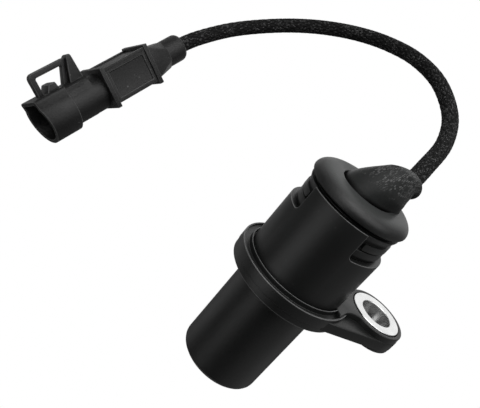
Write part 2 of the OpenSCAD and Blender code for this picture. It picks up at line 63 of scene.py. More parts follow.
def makeCamera(c):
    data = bpy.data.cameras.new("photoCamera")
    data.sensor_fit = "HORIZONTAL"
    data.sensor_width = c["sensor"]
    data.lens = c["focalPixels"] * c["sensor"] / c["frameWidth"]
    data.clip_start, data.clip_end = c["clip"]
    cam = bpy.data.objects.new("photoCamera", data)
    scene.collection.objects.link(cam)
    turn = turned(c["turn"])
    cam.matrix_world = Matrix.Translation(Vector(c["place"]) * mm) @ turn.to_4x4()
    scene.camera = cam
    return turn


cameraTurn = makeCamera(camera)
print("camera ready")


# Small helpers for meshes

weld = 1e-7    # m, points nearer than this become one


def wire(bm, points, closed=False):
    verts = [bm.verts.new(Vector(p) * mm) for p in points]
    ends = verts + verts[:1] if closed else verts
    for pair in zip(ends, ends[1:]):
        bm.edges.new(pair)
    return verts


def setNormals(bm):
    bmesh.ops.recalc_face_normals(bm, faces=bm.faces[:])


def closeEnds(bm):
    bmesh.ops.remove_doubles(bm, verts=bm.verts[:], dist=weld)
    bmesh.ops.holes_fill(bm, edges=[e for e in bm.edges if e.is_boundary])
    setNormals(bm)


def roundVert(bm, vert, size, segments=5):
    bmesh.ops.bevel(bm, geom=[vert], offset=size * mm, offset_type="OFFSET", affect="VERTICES",
                    segments=segments, profile=0.5, material=-1)


def roundEdges(bm, edges, size, segments=3):
    bmesh.ops.bevel(bm, geom=edges, offset=size * mm, offset_type="OFFSET", affect="EDGES",
                    segments=segments, profile=0.5, material=-1, clamp_overlap=True)


def sharpEdges(bm, degrees=30):
    return [e for e in bm.edges if e.is_manifold and e.calc_face_angle(0) > math.radians(degrees)]


def softenEdges(bm, size, segments=3, degrees=30, pick=None):
    roundEdges(bm, [e for e in sharpEdges(bm, degrees) if pick is None or pick(e)], size, segments)


def spunProfile(corners, steps=180, start=0, sweep=360, closed=False, axisTurn=None):
    # corners are (radius, height, rounding) in mm
    bm = bmesh.new()
    verts = wire(bm, [(r, 0, z) for r, z, _ in corners], closed)
    for vert, corner in zip(verts, corners):
        if corner[2]:
            roundVert(bm, vert, corner[2])
    first = Matrix.Rotation(math.radians(start), 3, "Z")
    bmesh.ops.rotate(bm, verts=bm.verts[:], cent=(0, 0, 0), matrix=first)
    bmesh.ops.spin(bm, geom=bm.verts[:] + bm.edges[:], cent=(0, 0, 0), axis=(0, 0, 1), dvec=(0, 0, 0),
                   angle=math.radians(sweep), steps=steps, use_merge=sweep == 360)
    bmesh.ops.remove_doubles(bm, verts=bm.verts[:], dist=weld)
    setNormals(bm)
    if axisTurn:
        bmesh.ops.transform(bm, matrix=axisTurn, verts=bm.verts[:])
    return bm


def prism(outline, low, high, holes=(), soft=0, rounds=None, turn=None):
    # outline and holes lie in the XY plane, pushed up from low to high
    bm = bmesh.new()
    verts = wire(bm, [(x, y, low) for x, y in outline], True)
    for index, size in (rounds or {}).items():
        roundVert(bm, verts[index], size)
    for hole in holes:
        wire(bm, [(x, y, low) for x, y in hole], True)
    bmesh.ops.triangle_fill(bm, edges=bm.edges[:], use_beauty=True, use_dissolve=False)
    if not holes:
        bmesh.ops.dissolve_faces(bm, faces=bm.faces[:], use_verts=False)
    pushed = bmesh.ops.extrude_face_region(bm, geom=bm.faces[:])
    lifted = [v for v in pushed["geom"] if isinstance(v, bmesh.types.BMVert)]
    bmesh.ops.translate(bm, vec=(0, 0, (high - low) * mm), verts=lifted)
    setNormals(bm)
    if soft:
        softenEdges(bm, soft)
    if turn:
        bmesh.ops.transform(bm, matrix=turn, verts=bm.verts[:])
    return bm


def block(x, y, z, soft):
    # box between the given limits
    bm = bmesh.new()
    bmesh.ops.create_cube(bm, size=1)
    span = Vector((x[1] - x[0], y[1] - y[0], z[1] - z[0])) * mm
    middle = Vector((x[1] + x[0], y[1] + y[0], z[1] + z[0])) * mm / 2
    bmesh.ops.scale(bm, vec=span, verts=bm.verts[:])
    bmesh.ops.translate(bm, vec=middle, verts=bm.verts[:])
    if soft:
        softenEdges(bm, soft)
    return bm


def addTo(bm, other):
    spare = bpy.data.meshes.new("spare")
    other.to_mesh(spare)
    other.free()
    bm.from_mesh(spare)
    bpy.data.meshes.remove(spare)


def circlePoints(radius, count, centre=(0, 0), first=0, last=360):
    full = abs(last - first) >= 360
    steps = count if full else count - 1
    turns = [math.radians(first + (last - first) * k / steps) for k in range(count)]
    return [(centre[0] + radius * math.cos(a), centre[1] + radius * math.sin(a)) for a in turns]


def rolledGrid(sides, rings, place, mapName, mapHeight):
    # grid rolled into a closed tube: place gives the point in mm for a share of a turn and a ring
    bm = bmesh.new()
    uv = bm.loops.layers.uv.new(mapName)
    bmesh.ops.create_grid(bm, x_segments=sides, y_segments=rings, size=0.5)
    spots = {}
    for vert in bm.verts:
        around, ring = vert.co.x + 0.5, round((vert.co.y + 0.5) * rings)
        spots[vert] = (around, ring)
        vert.co = place(around, ring) * mm
    for face in bm.faces:
        for loop in face.loops:
            around, ring = spots[loop.vert]
            loop[uv].uv = (around, mapHeight(ring))
    closeEnds(bm)
    return bm


def markEdges(bm, widest=0.2, bend=16):
    # edge attribute: 1 along the middle of narrow rounded edges, 0 elsewhere; it masks the painted edge
    # highlight
    layer = bm.verts.layers.float.new("edge")
    bm.normal_update()
    for edge in bm.edges:
        if edge.is_manifold and edge.is_convex and edge.calc_face_angle(0) > math.radians(bend):
            if max(f.calc_area() for f in edge.link_faces) < widest * mm * edge.calc_length():
                for vert in edge.verts:
                    vert[layer] = 1.0


def makePiece(name, bm, material, nodes, sharp=35):
    mesh = bpy.data.meshes.new(name)
    bm.to_mesh(mesh)
    bm.free()
    mesh.shade_smooth()
    mesh.set_sharp_from_angle(angle=math.radians(sharp))
    mesh.materials.append(material)
    piece = bpy.data.objects.new(name, mesh)
    scene.collection.objects.link(piece)
    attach(piece, "root")
    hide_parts(*nodes)
    print("made", name, "with", len(mesh.polygons), "faces")
    return piece


# Materials


def nodeIn(tree, kind, inputs=None, **settings):
    node = tree.nodes.new(kind)
    for key, value in settings.items():
        setattr(node, key, value)
    for key, value in (inputs or {}).items():
        if isinstance(value, bpy.types.NodeSocket):
            tree.links.new(value, node.inputs[key])
        else:
            node.inputs[key].default_value = value
    return node


def mathIn(tree, operation, *values):
    return nodeIn(tree, "ShaderNodeMath", dict(enumerate(values)), operation=operation).outputs[0]


def rangeIn(tree, value, low, high, toLow=0.0, toHigh=1.0, **settings):
    return nodeIn(tree, "ShaderNodeMapRange", {
        "Value": value, "From Min": low, "From Max": high,
        "To Min": toLow, "To Max": toHigh}, **settings).outputs[0]


def mixIn(tree, factor, first, second):
    return nodeIn(tree, "ShaderNodeMix", {
        "Factor": factor, "A": first, "B": second}, data_type="RGBA").outputs["Result"]


def noiseIn(tree, place, scale, detail, output="Fac", **more):
    return nodeIn(tree, "ShaderNodeTexNoise", {
        "Vector": place, "Scale": scale, "Detail": detail, **more}).outputs[output]


def objectPlace(tree):
    return nodeIn(tree, "ShaderNodeTexCoord").outputs["Object"]


def newGroup(name, takes, gives):
    tree = bpy.data.node_groups.new(name, "ShaderNodeTree")
    for label, kind, value in takes:
        socket = tree.interface.new_socket(label, in_out="INPUT", socket_type=kind)
        socket.default_value = value
    for label, kind in gives:
        tree.interface.new_socket(label, in_out="OUTPUT", socket_type=kind)
    return tree, nodeIn(tree, "NodeGroupInput").outputs, nodeIn(tree, "NodeGroupOutput").inputs


mould = {
    "blotchScale": 160.0, "speckCells": 900.0, "speckRare": (0.93, 0.97), "speckDot": (0.1, 0.22),
    "grainSpan": (0.3, 0.7), "shade": (0.8, 1.2), "bumpHeight": 0.0002,
    "highlightPatches": (0.3, 0.6), "leastHighlight": 0.3,
}


def makeMouldGrain(m):
    # fine moulded grain, soft blotches of gloss, a few pale specks and a painted highlight along rounded
    # edges
    tree, takes, gives = newGroup("mouldGrain", [
        ("Colour", "NodeSocketColor", (0.02, 0.02, 0.02, 1)),
        ("Speck colour", "NodeSocketColor", (0.2, 0.2, 0.2, 1)),
        ("Edge colour", "NodeSocketColor", (0.1, 0.1, 0.1, 1)),
        ("Specks", "NodeSocketFloat", 0.5),
        ("Grain size", "NodeSocketFloat", 3000),
        ("Grain depth", "NodeSocketFloat", 0.2),
        ("Blotch", "NodeSocketFloat", 0.2),
        ("Roughness", "NodeSocketFloat", 0.45),
        ("Edge highlight", "NodeSocketFloat", 0.0),
    ], [("Colour", "NodeSocketColor"), ("Roughness", "NodeSocketFloat"), ("Normal", "NodeSocketVector")])
    place = objectPlace(tree)
    grain = noiseIn(tree, place, takes["Grain size"], 3.0, Roughness=0.6)
    blotch = noiseIn(tree, place, m["blotchScale"], 4.0)
    swing = mathIn(tree, "MULTIPLY", mathIn(tree, "SUBTRACT", blotch, 0.5), takes["Blotch"])
    gloss = mathIn(tree, "ADD", takes["Roughness"], swing)
    speck = nodeIn(tree, "ShaderNodeTexVoronoi", {"Vector": place, "Scale": m["speckCells"]}).outputs
    pick = nodeIn(tree, "ShaderNodeSeparateColor", {"Color": speck["Color"]}).outputs[0]
    rare = rangeIn(tree, pick, *m["speckRare"])
    dot = rangeIn(tree, speck["Distance"], *m["speckDot"], 1.0, 0.0)
    specks = mathIn(tree, "MULTIPLY", mathIn(tree, "MULTIPLY", rare, dot), takes["Specks"])
    shade = rangeIn(tree, grain, *m["grainSpan"], *m["shade"])
    toned = nodeIn(tree, "ShaderNodeVectorMath", {0: takes["Colour"], "Scale": shade}, operation="SCALE")
    speckled = mixIn(tree, specks, toned.outputs[0], takes["Speck colour"])
    # painted highlight: a lighter edge colour along narrow rounded edges, in patches
    edge = nodeIn(tree, "ShaderNodeAttribute", attribute_name="edge").outputs["Fac"]
    patchy = rangeIn(tree, blotch, *m["highlightPatches"], m["leastHighlight"], 1.0)
    edgeHighlightMask = mathIn(tree, "MULTIPLY", mathIn(tree, "MULTIPLY", edge, patchy), takes["Edge highlight"])
    bump = nodeIn(tree, "ShaderNodeBump", {
        "Strength": takes["Grain depth"], "Distance": m["bumpHeight"], "Height": grain})
    tree.links.new(mixIn(tree, edgeHighlightMask, speckled, takes["Edge colour"]), gives["Colour"])
    tree.links.new(gloss, gives["Roughness"])
    tree.links.new(bump.outputs["Normal"], gives["Normal"])
    return tree


mouldGrain = makeMouldGrain(mould)

yarn = {
    "gap": 0.06, "gapSoft": 0.6, "stagger": 0.37,
    "wanderScale": 1.3, "wander": (0.5, 0.5, 0.5), "driftScale": 0.35, "drift": (0.35, 0.65),
}


def makeYarnFlecks(y):
    # pale yarn lengths in rows that come and go along a braid, place in mm
    tree, takes, gives = newGroup("yarnFlecks", [
        ("Place", "NodeSocketVector", (0, 0, 0)),
        ("Length", "NodeSocketFloat", 0.6),
        ("Row", "NodeSocketFloat", 0.36),
        ("Fewest", "NodeSocketFloat", 0.03),
        ("Most", "NodeSocketFloat", 0.2),
    ], [("Mask", "NodeSocketFloat")])
    place = takes["Place"]
    wander = noiseIn(tree, place, y["wanderScale"], 2.0, "Color")
    centred = nodeIn(tree, "ShaderNodeVectorMath", {0: wander, 1: (0.5, 0.5, 0.5)}, operation="SUBTRACT")
    bent = nodeIn(tree, "ShaderNodeVectorMath", {
        0: centred.outputs[0], 1: y["wander"], 2: place}, operation="MULTIPLY_ADD")
    lengths = nodeIn(tree, "ShaderNodeTexBrick", {
        "Vector": bent.outputs[0], "Color1": (0, 0, 0, 1), "Color2": (1, 1, 1, 1), "Mortar": (0, 0, 0, 1),
        "Scale": 1.0, "Mortar Size": y["gap"], "Mortar Smooth": y["gapSoft"],
        "Brick Width": takes["Length"], "Row Height": takes["Row"]}, offset=y["stagger"])
    drift = noiseIn(tree, place, y["driftScale"], 2.0)
    share = rangeIn(tree, drift, *y["drift"], takes["Fewest"], takes["Most"])
    dark = mathIn(tree, "SUBTRACT", 1.0, share)
    tree.links.new(rangeIn(tree, lengths.outputs["Color"], dark, 1.0), gives["Mask"])
    return tree


yarnFlecks = makeYarnFlecks(yarn)


def flecksIn(tree, s, along, around):
    place = nodeIn(tree, "ShaderNodeCombineXYZ", {"X": along, "Y": around})
    flecks = nodeIn(tree, "ShaderNodeGroup", {"Place": place.outputs[0]}, node_tree=yarnFlecks)
    for label, key in (("Length", "fleckLong"), ("Row", "fleckRow"),
                       ("Fewest", "fewFlecks"), ("Most", "mostFlecks")):
        flecks.inputs[label].default_value = s[key]
    return flecks.outputs["Mask"]


def emptyTree(owner):
    owner.use_nodes = True
    owner.node_tree.nodes.clear()
    return owner.node_tree


def newMaterial(name, shaderValues):
    material = bpy.data.materials.new(name)
    tree = emptyTree(material)
    shader = nodeIn(tree, "ShaderNodeBsdfPrincipled", shaderValues)
    out = nodeIn(tree, "ShaderNodeOutputMaterial")
    tree.links.new(shader.outputs["BSDF"], out.inputs["Surface"])
    return material, tree, shader.inputs


def grey(level):
    return (level, level, level)


def mouldedMaterial(name, s):
    material, tree, shader = newMaterial(name, {"Specular IOR Level": s.get("specular", 0.4)})
    grain = nodeIn(tree, "ShaderNodeGroup", {
        "Colour": (*s["colour"], 1), "Speck colour": (*s["speckColour"], 1), "Specks": s["specks"],
        "Grain size": s["grainSize"], "Grain depth": s["grainDepth"], "Blotch": s["blotch"],
        "Roughness": s["roughness"], "Edge highlight": s.get("edgeHighlight", 0),
        "Edge colour": (*s.get("edgeColour", s["speckColour"]), 1)}, node_tree=mouldGrain)
    for label, socket in (("Colour", "Base Color"), ("Roughness", "Roughness"), ("Normal", "Normal")):
        tree.links.new(grain.outputs[label], shader[socket])
    return material


# the edge colour paints a highlight along narrow rounded edges of the housing and plug
housingNylon = mouldedMaterial("housingNylon", {
    "colour": (0.0065, 0.0068, 0.0067), "speckColour": grey(0.06), "specks": 0.15, "grainSize": 5200,
    "grainDepth": 0.1, "blotch": 0.12, "roughness": 0.4, "specular": 0.35,
    "edgeColour": grey(0.12), "edgeHighlight": 0.9})
plugNylon = mouldedMaterial("plugNylon", {
    "colour": grey(0.0065), "speckColour": grey(0.1), "specks": 0.8, "grainSize": 3200,
    "grainDepth": 0.4, "blotch": 0.3, "roughness": 0.46, "specular": 0.27,
    "edgeColour": grey(0.09), "edgeHighlight": 0.8})
bootRubber = mouldedMaterial("bootRubber", {
    "colour": (0.007, 0.0073, 0.0072), "speckColour": grey(0.2), "specks": 0.8, "grainSize": 2400,
    "grainDepth": 0.18, "blotch": 0.3, "roughness": 0.47, "specular": 0.35})
bobbinNylon = mouldedMaterial("bobbinNylon", {
    "colour": grey(0.09), "speckColour": grey(0.2), "specks": 0.2, "grainSize": 3600,
    "grainDepth": 0.2, "blotch": 0.2, "roughness": 0.45})
pottingResin = mouldedMaterial("pottingResin", {
    "colour": grey(0.02), "speckColour": grey(0.1), "specks": 0.2, "grainSize": 900,
    "grainDepth": 0.1, "blotch": 0.3, "roughness": 0.25})
sealRubber = mouldedMaterial("sealRubber", {
    "colour": (0.20, 0.045, 0.02), "speckColour": (0.3, 0.1, 0.06), "specks": 0.3, "grainSize": 2600,
    "grainDepth": 0.2, "blotch": 0.2, "roughness": 0.55})
coreJacket = mouldedMaterial("coreJacket", {
    "colour": grey(0.05), "speckColour": grey(0.1), "specks": 0.1, "grainSize": 4200,
    "grainDepth": 0.08, "blotch": 0.15, "roughness": 0.35})
magnetCeramic = mouldedMaterial("magnetCeramic", {
    "colour": (0.06, 0.06, 0.065), "speckColour": grey(0.16), "specks": 0.6, "grainSize": 2000,
    "grainDepth": 0.3, "blotch": 0.3, "roughness": 0.55})

imprint = {
    "topFrom": 24.55, "topFull": 25.15, "topLight": 0.95, "topColour": (0.032, 0.0338, 0.0332),
    "hoodColour": (0.02, 0.0211, 0.0207), "foot": (1.09, 1.18), "from": 1.3, "full": 1.65,
    "hoodLong": 8.5, "hoodGirth": 24, "fleckColour": grey(0.15), "fleck": 0.8, "fleckLong": 0.48,
    "fleckRow": 0.3, "fewFlecks": 0.2, "mostFlecks": 0.95, "depth": 0.7, "bumpHeight": 0.0002,
}


def addImprint(material, s):
    # painted light on the rim's top, painted shade in the crease at the hood's foot and the braid showing
    # through the hood
    # v of the UV map is 0 on the rim and runs from 1 at the hood's foot to 2 at its end
    tree = material.node_tree
    shader = tree.nodes["Principled BSDF"].inputs
    plain = shader["Base Color"].links[0].from_socket
    smooth = shader["Normal"].links[0].from_socket
    uv = nodeIn(tree, "ShaderNodeUVMap", uv_map="hood").outputs["UV"]
    split = nodeIn(tree, "ShaderNodeSeparateXYZ", {"Vector": uv}).outputs
    height = nodeIn(tree, "ShaderNodeSeparateXYZ", {"Vector": objectPlace(tree)}).outputs["Z"]
    # painted light: the rim's top lighter than its sides, rising with height
    onTop = rangeIn(tree, height, s["topFrom"] * mm, s["topFull"] * mm, 0.0, s["topLight"])
    topLit = mixIn(tree, onTop, plain, (*s["topColour"], 1))
    onHood = mathIn(tree, "GREATER_THAN", split["Y"], 0.5)
    hoodToned = mixIn(tree, onHood, topLit, (*s["hoodColour"], 1))
    # painted shade: the hood's foot darkened towards black in the crease by the rim
    foot = rangeIn(tree, split["Y"], *s["foot"], 1.0, 0.0)
    footShaded = mixIn(tree, mathIn(tree, "MULTIPLY", onHood, foot), hoodToned, (0, 0, 0, 1))
    along = mathIn(tree, "MULTIPLY", split["Y"], s["hoodLong"])
    around = mathIn(tree, "MULTIPLY", split["X"], s["hoodGirth"])
    reach = rangeIn(tree, split["Y"], s["from"], s["full"], interpolation_type="SMOOTHSTEP")
    mask = mathIn(tree, "MULTIPLY", flecksIn(tree, s, along, around), reach)
    flecked = mixIn(tree, mathIn(tree, "MULTIPLY", mask, s["fleck"]), footShaded, (*s["fleckColour"], 1))
    bump = nodeIn(tree, "ShaderNodeBump", {
        "Strength": s["depth"], "Distance": s["bumpHeight"], "Height": mask, "Normal": smooth})
    tree.links.new(flecked, shader["Base Color"])
    tree.links.new(bump.outputs["Normal"], shader["Normal"])


addImprint(bootRubber, imprint)

turning = {
    "distortion": 1.5, "detail": 2.0, "blotchScale": 500.0, "blotchSpan": (0.3, 0.7), "glossSwing": 0.06,
    "bumpHeight": 0.00005,
}


def metalMaterial(name, s):
    # turned metal: fine lines round the Z axis of the mapped coordinates
    material, tree, shader = newMaterial(name, {"Metallic": 1.0})
    place = objectPlace(tree)
    centred = nodeIn(tree, "ShaderNodeMapping", {
        "Vector": place, "Location": [-c * mm for c in s.get("centre", (0, 0, 0))]}).outputs[0]
    lines = nodeIn(tree, "ShaderNodeTexWave", {
        "Vector": centred, "Scale": s["lines"], "Distortion": turning["distortion"],
        "Detail": turning["detail"], "Detail Scale": turning["detail"]},
        wave_type="RINGS", rings_direction="Z").outputs["Fac"]
    blotch = noiseIn(tree, place, turning["blotchScale"], 5.0)
    tone = rangeIn(tree, blotch, *turning["blotchSpan"])
    shade = mixIn(tree, tone, (*s["dull"], 1), (*s["bright"], 1))
    swing = turning["glossSwing"]
    rough = rangeIn(tree, lines, 0.0, 1.0, s["roughness"] - swing, s["roughness"] + swing)
    bump = nodeIn(tree, "ShaderNodeBump", {
        "Strength": s["depth"], "Distance": turning["bumpHeight"], "Height": lines})
    if "boreR" in s:    # the bore is left as drilled and rougher; its colour is darkened as painted shade
        flat = nodeIn(tree, "ShaderNodeVectorMath", {0: centred, 1: (1, 1, 0)}, operation="MULTIPLY")
        radius = nodeIn(tree, "ShaderNodeVectorMath", {0: flat.outputs[0]}, operation="LENGTH")
        bore = mathIn(tree, "LESS_THAN", radius.outputs["Value"], s["boreR"] * mm)
        level = rangeIn(tree, bore, 0.0, 1.0, 1.0, s["boreShade"])
        shade = nodeIn(tree, "ShaderNodeVectorMath", {0: shade, "Scale": level}, operation="SCALE").outputs[0]
        rough = mathIn(tree, "MULTIPLY_ADD", bore, s["boreRough"], rough)
    tree.links.new(shade, shader["Base Color"])
    tree.links.new(rough, shader["Roughness"])
    tree.links.new(bump.outputs["Normal"], shader["Normal"])
    return material


lugX = 19.7    # mm from the housing's axis to the lug's
bushingSteel = metalMaterial("bushingSteel", {
    "centre": (lugX, 0, 0), "lines": 900, "dull": (0.8, 0.805, 0.8), "bright": (0.92, 0.925, 0.92),
    "roughness": 0.28, "depth": 0.08, "boreR": 3.62, "boreShade": 0.7, "boreRough": 0.1})
poleIron = metalMaterial("poleIron", {
    "lines": 700, "dull": (0.4, 0.4, 0.41), "bright": (0.55, 0.55, 0.56),
    "roughness": 0.4, "depth": 0.2})
coilCopper = metalMaterial("coilCopper", {
    "lines": 300, "dull": (0.55, 0.22, 0.09), "bright": (0.75, 0.34, 0.15),
    "roughness": 0.35, "depth": 0.4})
contactBrass = metalMaterial("contactBrass", {
    "lines": 700, "dull": (0.62, 0.47, 0.2), "bright": (0.78, 0.64, 0.34),
    "roughness": 0.3, "depth": 0.15})
spliceTin = metalMaterial("spliceTin", {
    "lines": 700, "dull": grey(0.58), "bright": grey(0.72),
    "roughness": 0.35, "depth": 0.2})

braid = {
    "strands": 12, "pitch": 2.1, "girth": 11, "valley": grey(0.004), "crown": grey(0.013),
    "fleckColour": grey(0.1), "fleck": 0.8, "fleckLong": 0.44, "fleckRow": 0.28, "fewFlecks": 0.1,
    "mostFlecks": 0.6, "depth": 0.8, "bumpHeight": 0.00015, "roughness": 0.75, "specular": 0.05,
}


def braidMaterial(s):
    # woven sleeve on the lead's own UV map: u round the lead, v along it in mm
    material, tree, shader = newMaterial("leadBraid", {
        "Specular IOR Level": s["specular"], "Roughness": s["roughness"]})
    uv = nodeIn(tree, "ShaderNodeUVMap", uv_map="braid").outputs["UV"]
    split = nodeIn(tree, "ShaderNodeSeparateXYZ", {"Vector": uv}).outputs
    around = mathIn(tree, "MULTIPLY", split["X"], float(s["strands"]))
    along = mathIn(tree, "DIVIDE", split["Y"], s["pitch"])

    def strand(operation):
        part = mathIn(tree, "FRACT", mathIn(tree, operation, around, along))
        return mathIn(tree, "SINE", mathIn(tree, "MULTIPLY", part, math.pi))

    crossing = mathIn(tree, "MULTIPLY", strand("ADD"), strand("SUBTRACT"))
    # painted shade: the colour is darker in the valleys between strands than on their crowns
    lift = rangeIn(tree, crossing, 0.0, 0.9)
    plain = mixIn(tree, lift, (*s["valley"], 1), (*s["crown"], 1))
    flecks = flecksIn(tree, s, split["Y"], mathIn(tree, "MULTIPLY", split["X"], s["girth"]))
    flecked = mixIn(tree, mathIn(tree, "MULTIPLY", flecks, s["fleck"]), plain, (*s["fleckColour"], 1))
    height = mathIn(tree, "MULTIPLY_ADD", crossing, noiseIn(tree, uv, 6.0, 4.0), 0.5)
    bump = nodeIn(tree, "ShaderNodeBump", {
        "Strength": s["depth"], "Distance": s["bumpHeight"], "Height": height})
    tree.links.new(flecked, shader["Base Color"])
    tree.links.new(bump.outputs["Normal"], shader["Normal"])
    return material


leadBraid = braidMaterial(braid)
print("materials ready")


# Sensor housing: nose, collar, windowed body and lug in one moulding

housing = {
    "noseR": 9, "noseLow": -24, "noseRound": 1.4, "noseFillet": 0.2, "steps": 180,
    "skirtR": 12.83, "skirtTop": 1.5, "skirtRound": 0.25, "stepUp": 0.1, "stepRound": 0.05,
    "collarR": 12.95, "collarTop": 3.85, "collarRound": 0.2, "bead": 0.4,
    "grooveLow": 3.35, "grooveRound": 0.1, "grooveLean": 0.05,
    "deckR": 11.3, "deckTop": 4.35, "deckRound": 0.2, "deckEdge": 0.08, "footLow": 3.8, "footOut": 0.1,
    "bodyR": 10.8, "bodyTop": 21.8, "wallIn": 9.45, "seatLow": 15.4, "seatR": 8.75, "wellLow": 13.9,
    "windowLow": 16, "windowArc": 108, "windowAt": (-31, 149), "windowRound": 1,
    "windowRows": (0, 0.12, 0.3, 0.6, 1), "windowSlack": 1e-6, "edgeSlack": 1e-4, "wallSlack": 0.1,
    "edgeSoft": 0.16,
    "webLow": 0.7, "webTop": 3.1, "webRoot": 12.45, "webR": 6.8, "webSoft": 0.3, "webSteps": 61,
    "bossR": 6.7, "bossTop": 4.36, "bossSoft": 0.25, "bossSteps": 81, "bushHole": 5.82, "holeSteps": 96,
    "neckHalf": 4.8, "neckFrom": 7, "neckFillet": 1.6, "neckArc": 5, "neckRoot": 12.6, "neckWing": 43,
    "arcSteps": 13, "wingSteps": 6,
}


def inWindow(point, h):
    turn = math.degrees(math.atan2(point.y, point.x))
    gaps = [abs((turn - at + 180) % 360 - 180) for at in h["windowAt"]]
    return min(gaps) < h["windowArc"] / 2 and point.z > h["windowLow"] * mm


def notchedSpin(corners, h):
    # spun surface with both windows taken out of its upper edge
    bm = spunProfile(corners, h["steps"], h["windowAt"][0] - h["windowArc"] / 2)
    lost = [f for f in bm.faces if inWindow(f.calc_center_median(), h)]
    bmesh.ops.delete(bm, geom=lost, context="FACES")
    return bm


def roundWindows(verts, radius, h):
    # moves the window's lower corners on to an arc along the wall
    size = h["windowRound"]
    for vert in verts:
        turn = math.degrees(math.atan2(vert.co.y, vert.co.x))
        up = vert.co.z / mm - h["windowLow"]
        if not -h["windowSlack"] <= up <= size + h["windowSlack"]:
            continue
        for at in h["windowAt"]:
            for side in (-1, 1):
                edge = at + side * h["windowArc"] / 2
                inward = math.radians((edge - turn + 180) % 360 - 180) * side * radius
                if -h["edgeSlack"] <= inward < size:
                    reach = Vector((size - inward, size - up))
                    if reach.length > size:
                        reach *= size / reach.length
                    place = math.radians(edge) - side * (size - reach.x) / radius
                    vert.co = Vector((radius * math.cos(place), radius * math.sin(place),
                                      h["windowLow"] + size - reach.y)) * mm


def housingShell(h):
    # nose, collar and body, spun as an outer and an inner wall and joined along the rim
    rows = [h["windowLow"] + h["windowRound"] * share for share in h["windowRows"]] + [h["bodyTop"]]
    grooveR = h["collarR"] - h["bead"]
    outer = [
        (0, h["noseLow"], 0), (h["noseR"], h["noseLow"], h["noseRound"]),
        (h["noseR"], 0, h["noseFillet"]), (h["skirtR"], 0, h["skirtRound"]),
        (h["skirtR"], h["skirtTop"], 0), (h["collarR"], h["skirtTop"] + h["stepUp"], h["stepRound"]),
        (h["collarR"], h["collarTop"], h["collarRound"]), (grooveR, h["collarTop"], h["grooveRound"]),
        (grooveR - h["grooveLean"], h["grooveLow"], h["grooveRound"]),
        (h["deckR"], h["grooveLow"], h["grooveRound"]), (h["deckR"], h["deckTop"], h["deckRound"]),
        (h["deckR"] - h["bead"] / 2, h["deckTop"], h["deckEdge"]),
        (h["bodyR"] + h["footOut"], h["footLow"], 0), (h["bodyR"], h["footLow"], 0)]
    inner = [(0, h["wellLow"], 0), (h["seatR"], h["wellLow"], 0), (h["seatR"], h["seatLow"], 0),
             (h["wallIn"], h["seatLow"], 0)]
    bm = notchedSpin(outer + [(h["bodyR"], z, 0) for z in rows], h)
    addTo(bm, notchedSpin(inner + [(h["wallIn"], z, 0) for z in rows], h))
    rim = [e for e in bm.edges if e.is_boundary]
    rimVerts = {v for e in rim for v in e.verts}
    for radius in (h["bodyR"], h["wallIn"]):
        near = [v for v in rimVerts if abs(v.co.xy.length - radius * mm) < h["wallSlack"] * mm]
        roundWindows(near, radius, h)
    made = bmesh.ops.bridge_loops(bm, edges=rim)
    setNormals(bm)
    lips = {e for f in made["faces"] for e in f.edges if e.calc_face_angle(0) > math.radians(30)}
    roundEdges(bm, list(lips), h["edgeSoft"])
    return bm


def lugWeb(h, hole):
    # lower web of the lug, running from the bushing to both sides of the collar
    share = (h["webRoot"] - h["webR"]) / lugX
    rise = math.degrees(math.acos(share))
    web = circlePoints(h["webR"], h["webSteps"], (lugX, 0), -rise, rise)
    web += [(h["webRoot"] * share, s * h["webRoot"] * math.sqrt(1 - share * share)) for s in (1, -1)]
    return prism(web, h["webLow"], h["webTop"], [hole], h["webSoft"])


def lugBoss(h, hole):
    # round boss with a neck that widens along the collar
    waist = math.degrees(math.asin(h["neckHalf"] / h["bossR"]))
    boss = circlePoints(h["bossR"], h["bossSteps"], (lugX, 0), waist - 180, 180 - waist)
    arcY = h["neckHalf"] + h["neckArc"]
    arcX = math.sqrt((h["neckRoot"] + h["neckArc"]) ** 2 - arcY ** 2)
    last = math.degrees(math.atan2(arcY, arcX)) - 180
    arc = circlePoints(h["neckArc"], h["arcSteps"], (arcX, arcY), -90, last)
    arc += circlePoints(h["neckRoot"], h["wingSteps"], (0, 0), last + 180, h["neckWing"])[1:]
    boss += arc + [(h["neckFrom"], s * h["neckHalf"] / 2) for s in (1, -1)]
    boss += [(x, -y) for x, y in reversed(arc)]
    fillets = {0: h["neckFillet"], h["bossSteps"] - 1: h["neckFillet"]}
    return prism(boss, 0, h["bossTop"], [hole], h["bossSoft"], fillets)


def makeHousing(h):
    bm = housingShell(h)
    markEdges(bm)
    hole = circlePoints(h["bushHole"], h["holeSteps"], (lugX, 0))
    addTo(bm, lugWeb(h, hole))
    addTo(bm, lugBoss(h, hole))
    makePiece("housing", bm, housingNylon, ["sensor_housing"])


makeHousing(housing)


# Steel bushing in the lug

bushing = {"outer": 5.65, "bore": 3.5, "low": 0, "top": 4.5, "soft": 0.14, "boreEase": 1.6, "steps": 144}


def makeBushing(b):
    ring = [(b["bore"], b["low"], b["soft"]), (b["outer"], b["low"], b["soft"]),
            (b["outer"], b["top"], b["soft"]), (b["bore"], b["top"], b["soft"] * b["boreEase"])]
    bm = spunProfile(ring, b["steps"], closed=True)
    bmesh.ops.translate(bm, vec=(lugX * mm, 0, 0), verts=bm.verts[:])
    makePiece("bushing", bm, bushingSteel, ["lug_bushing"])


makeBushing(bushing)


# Retainer ring with the ribbed tongues that fill the windows

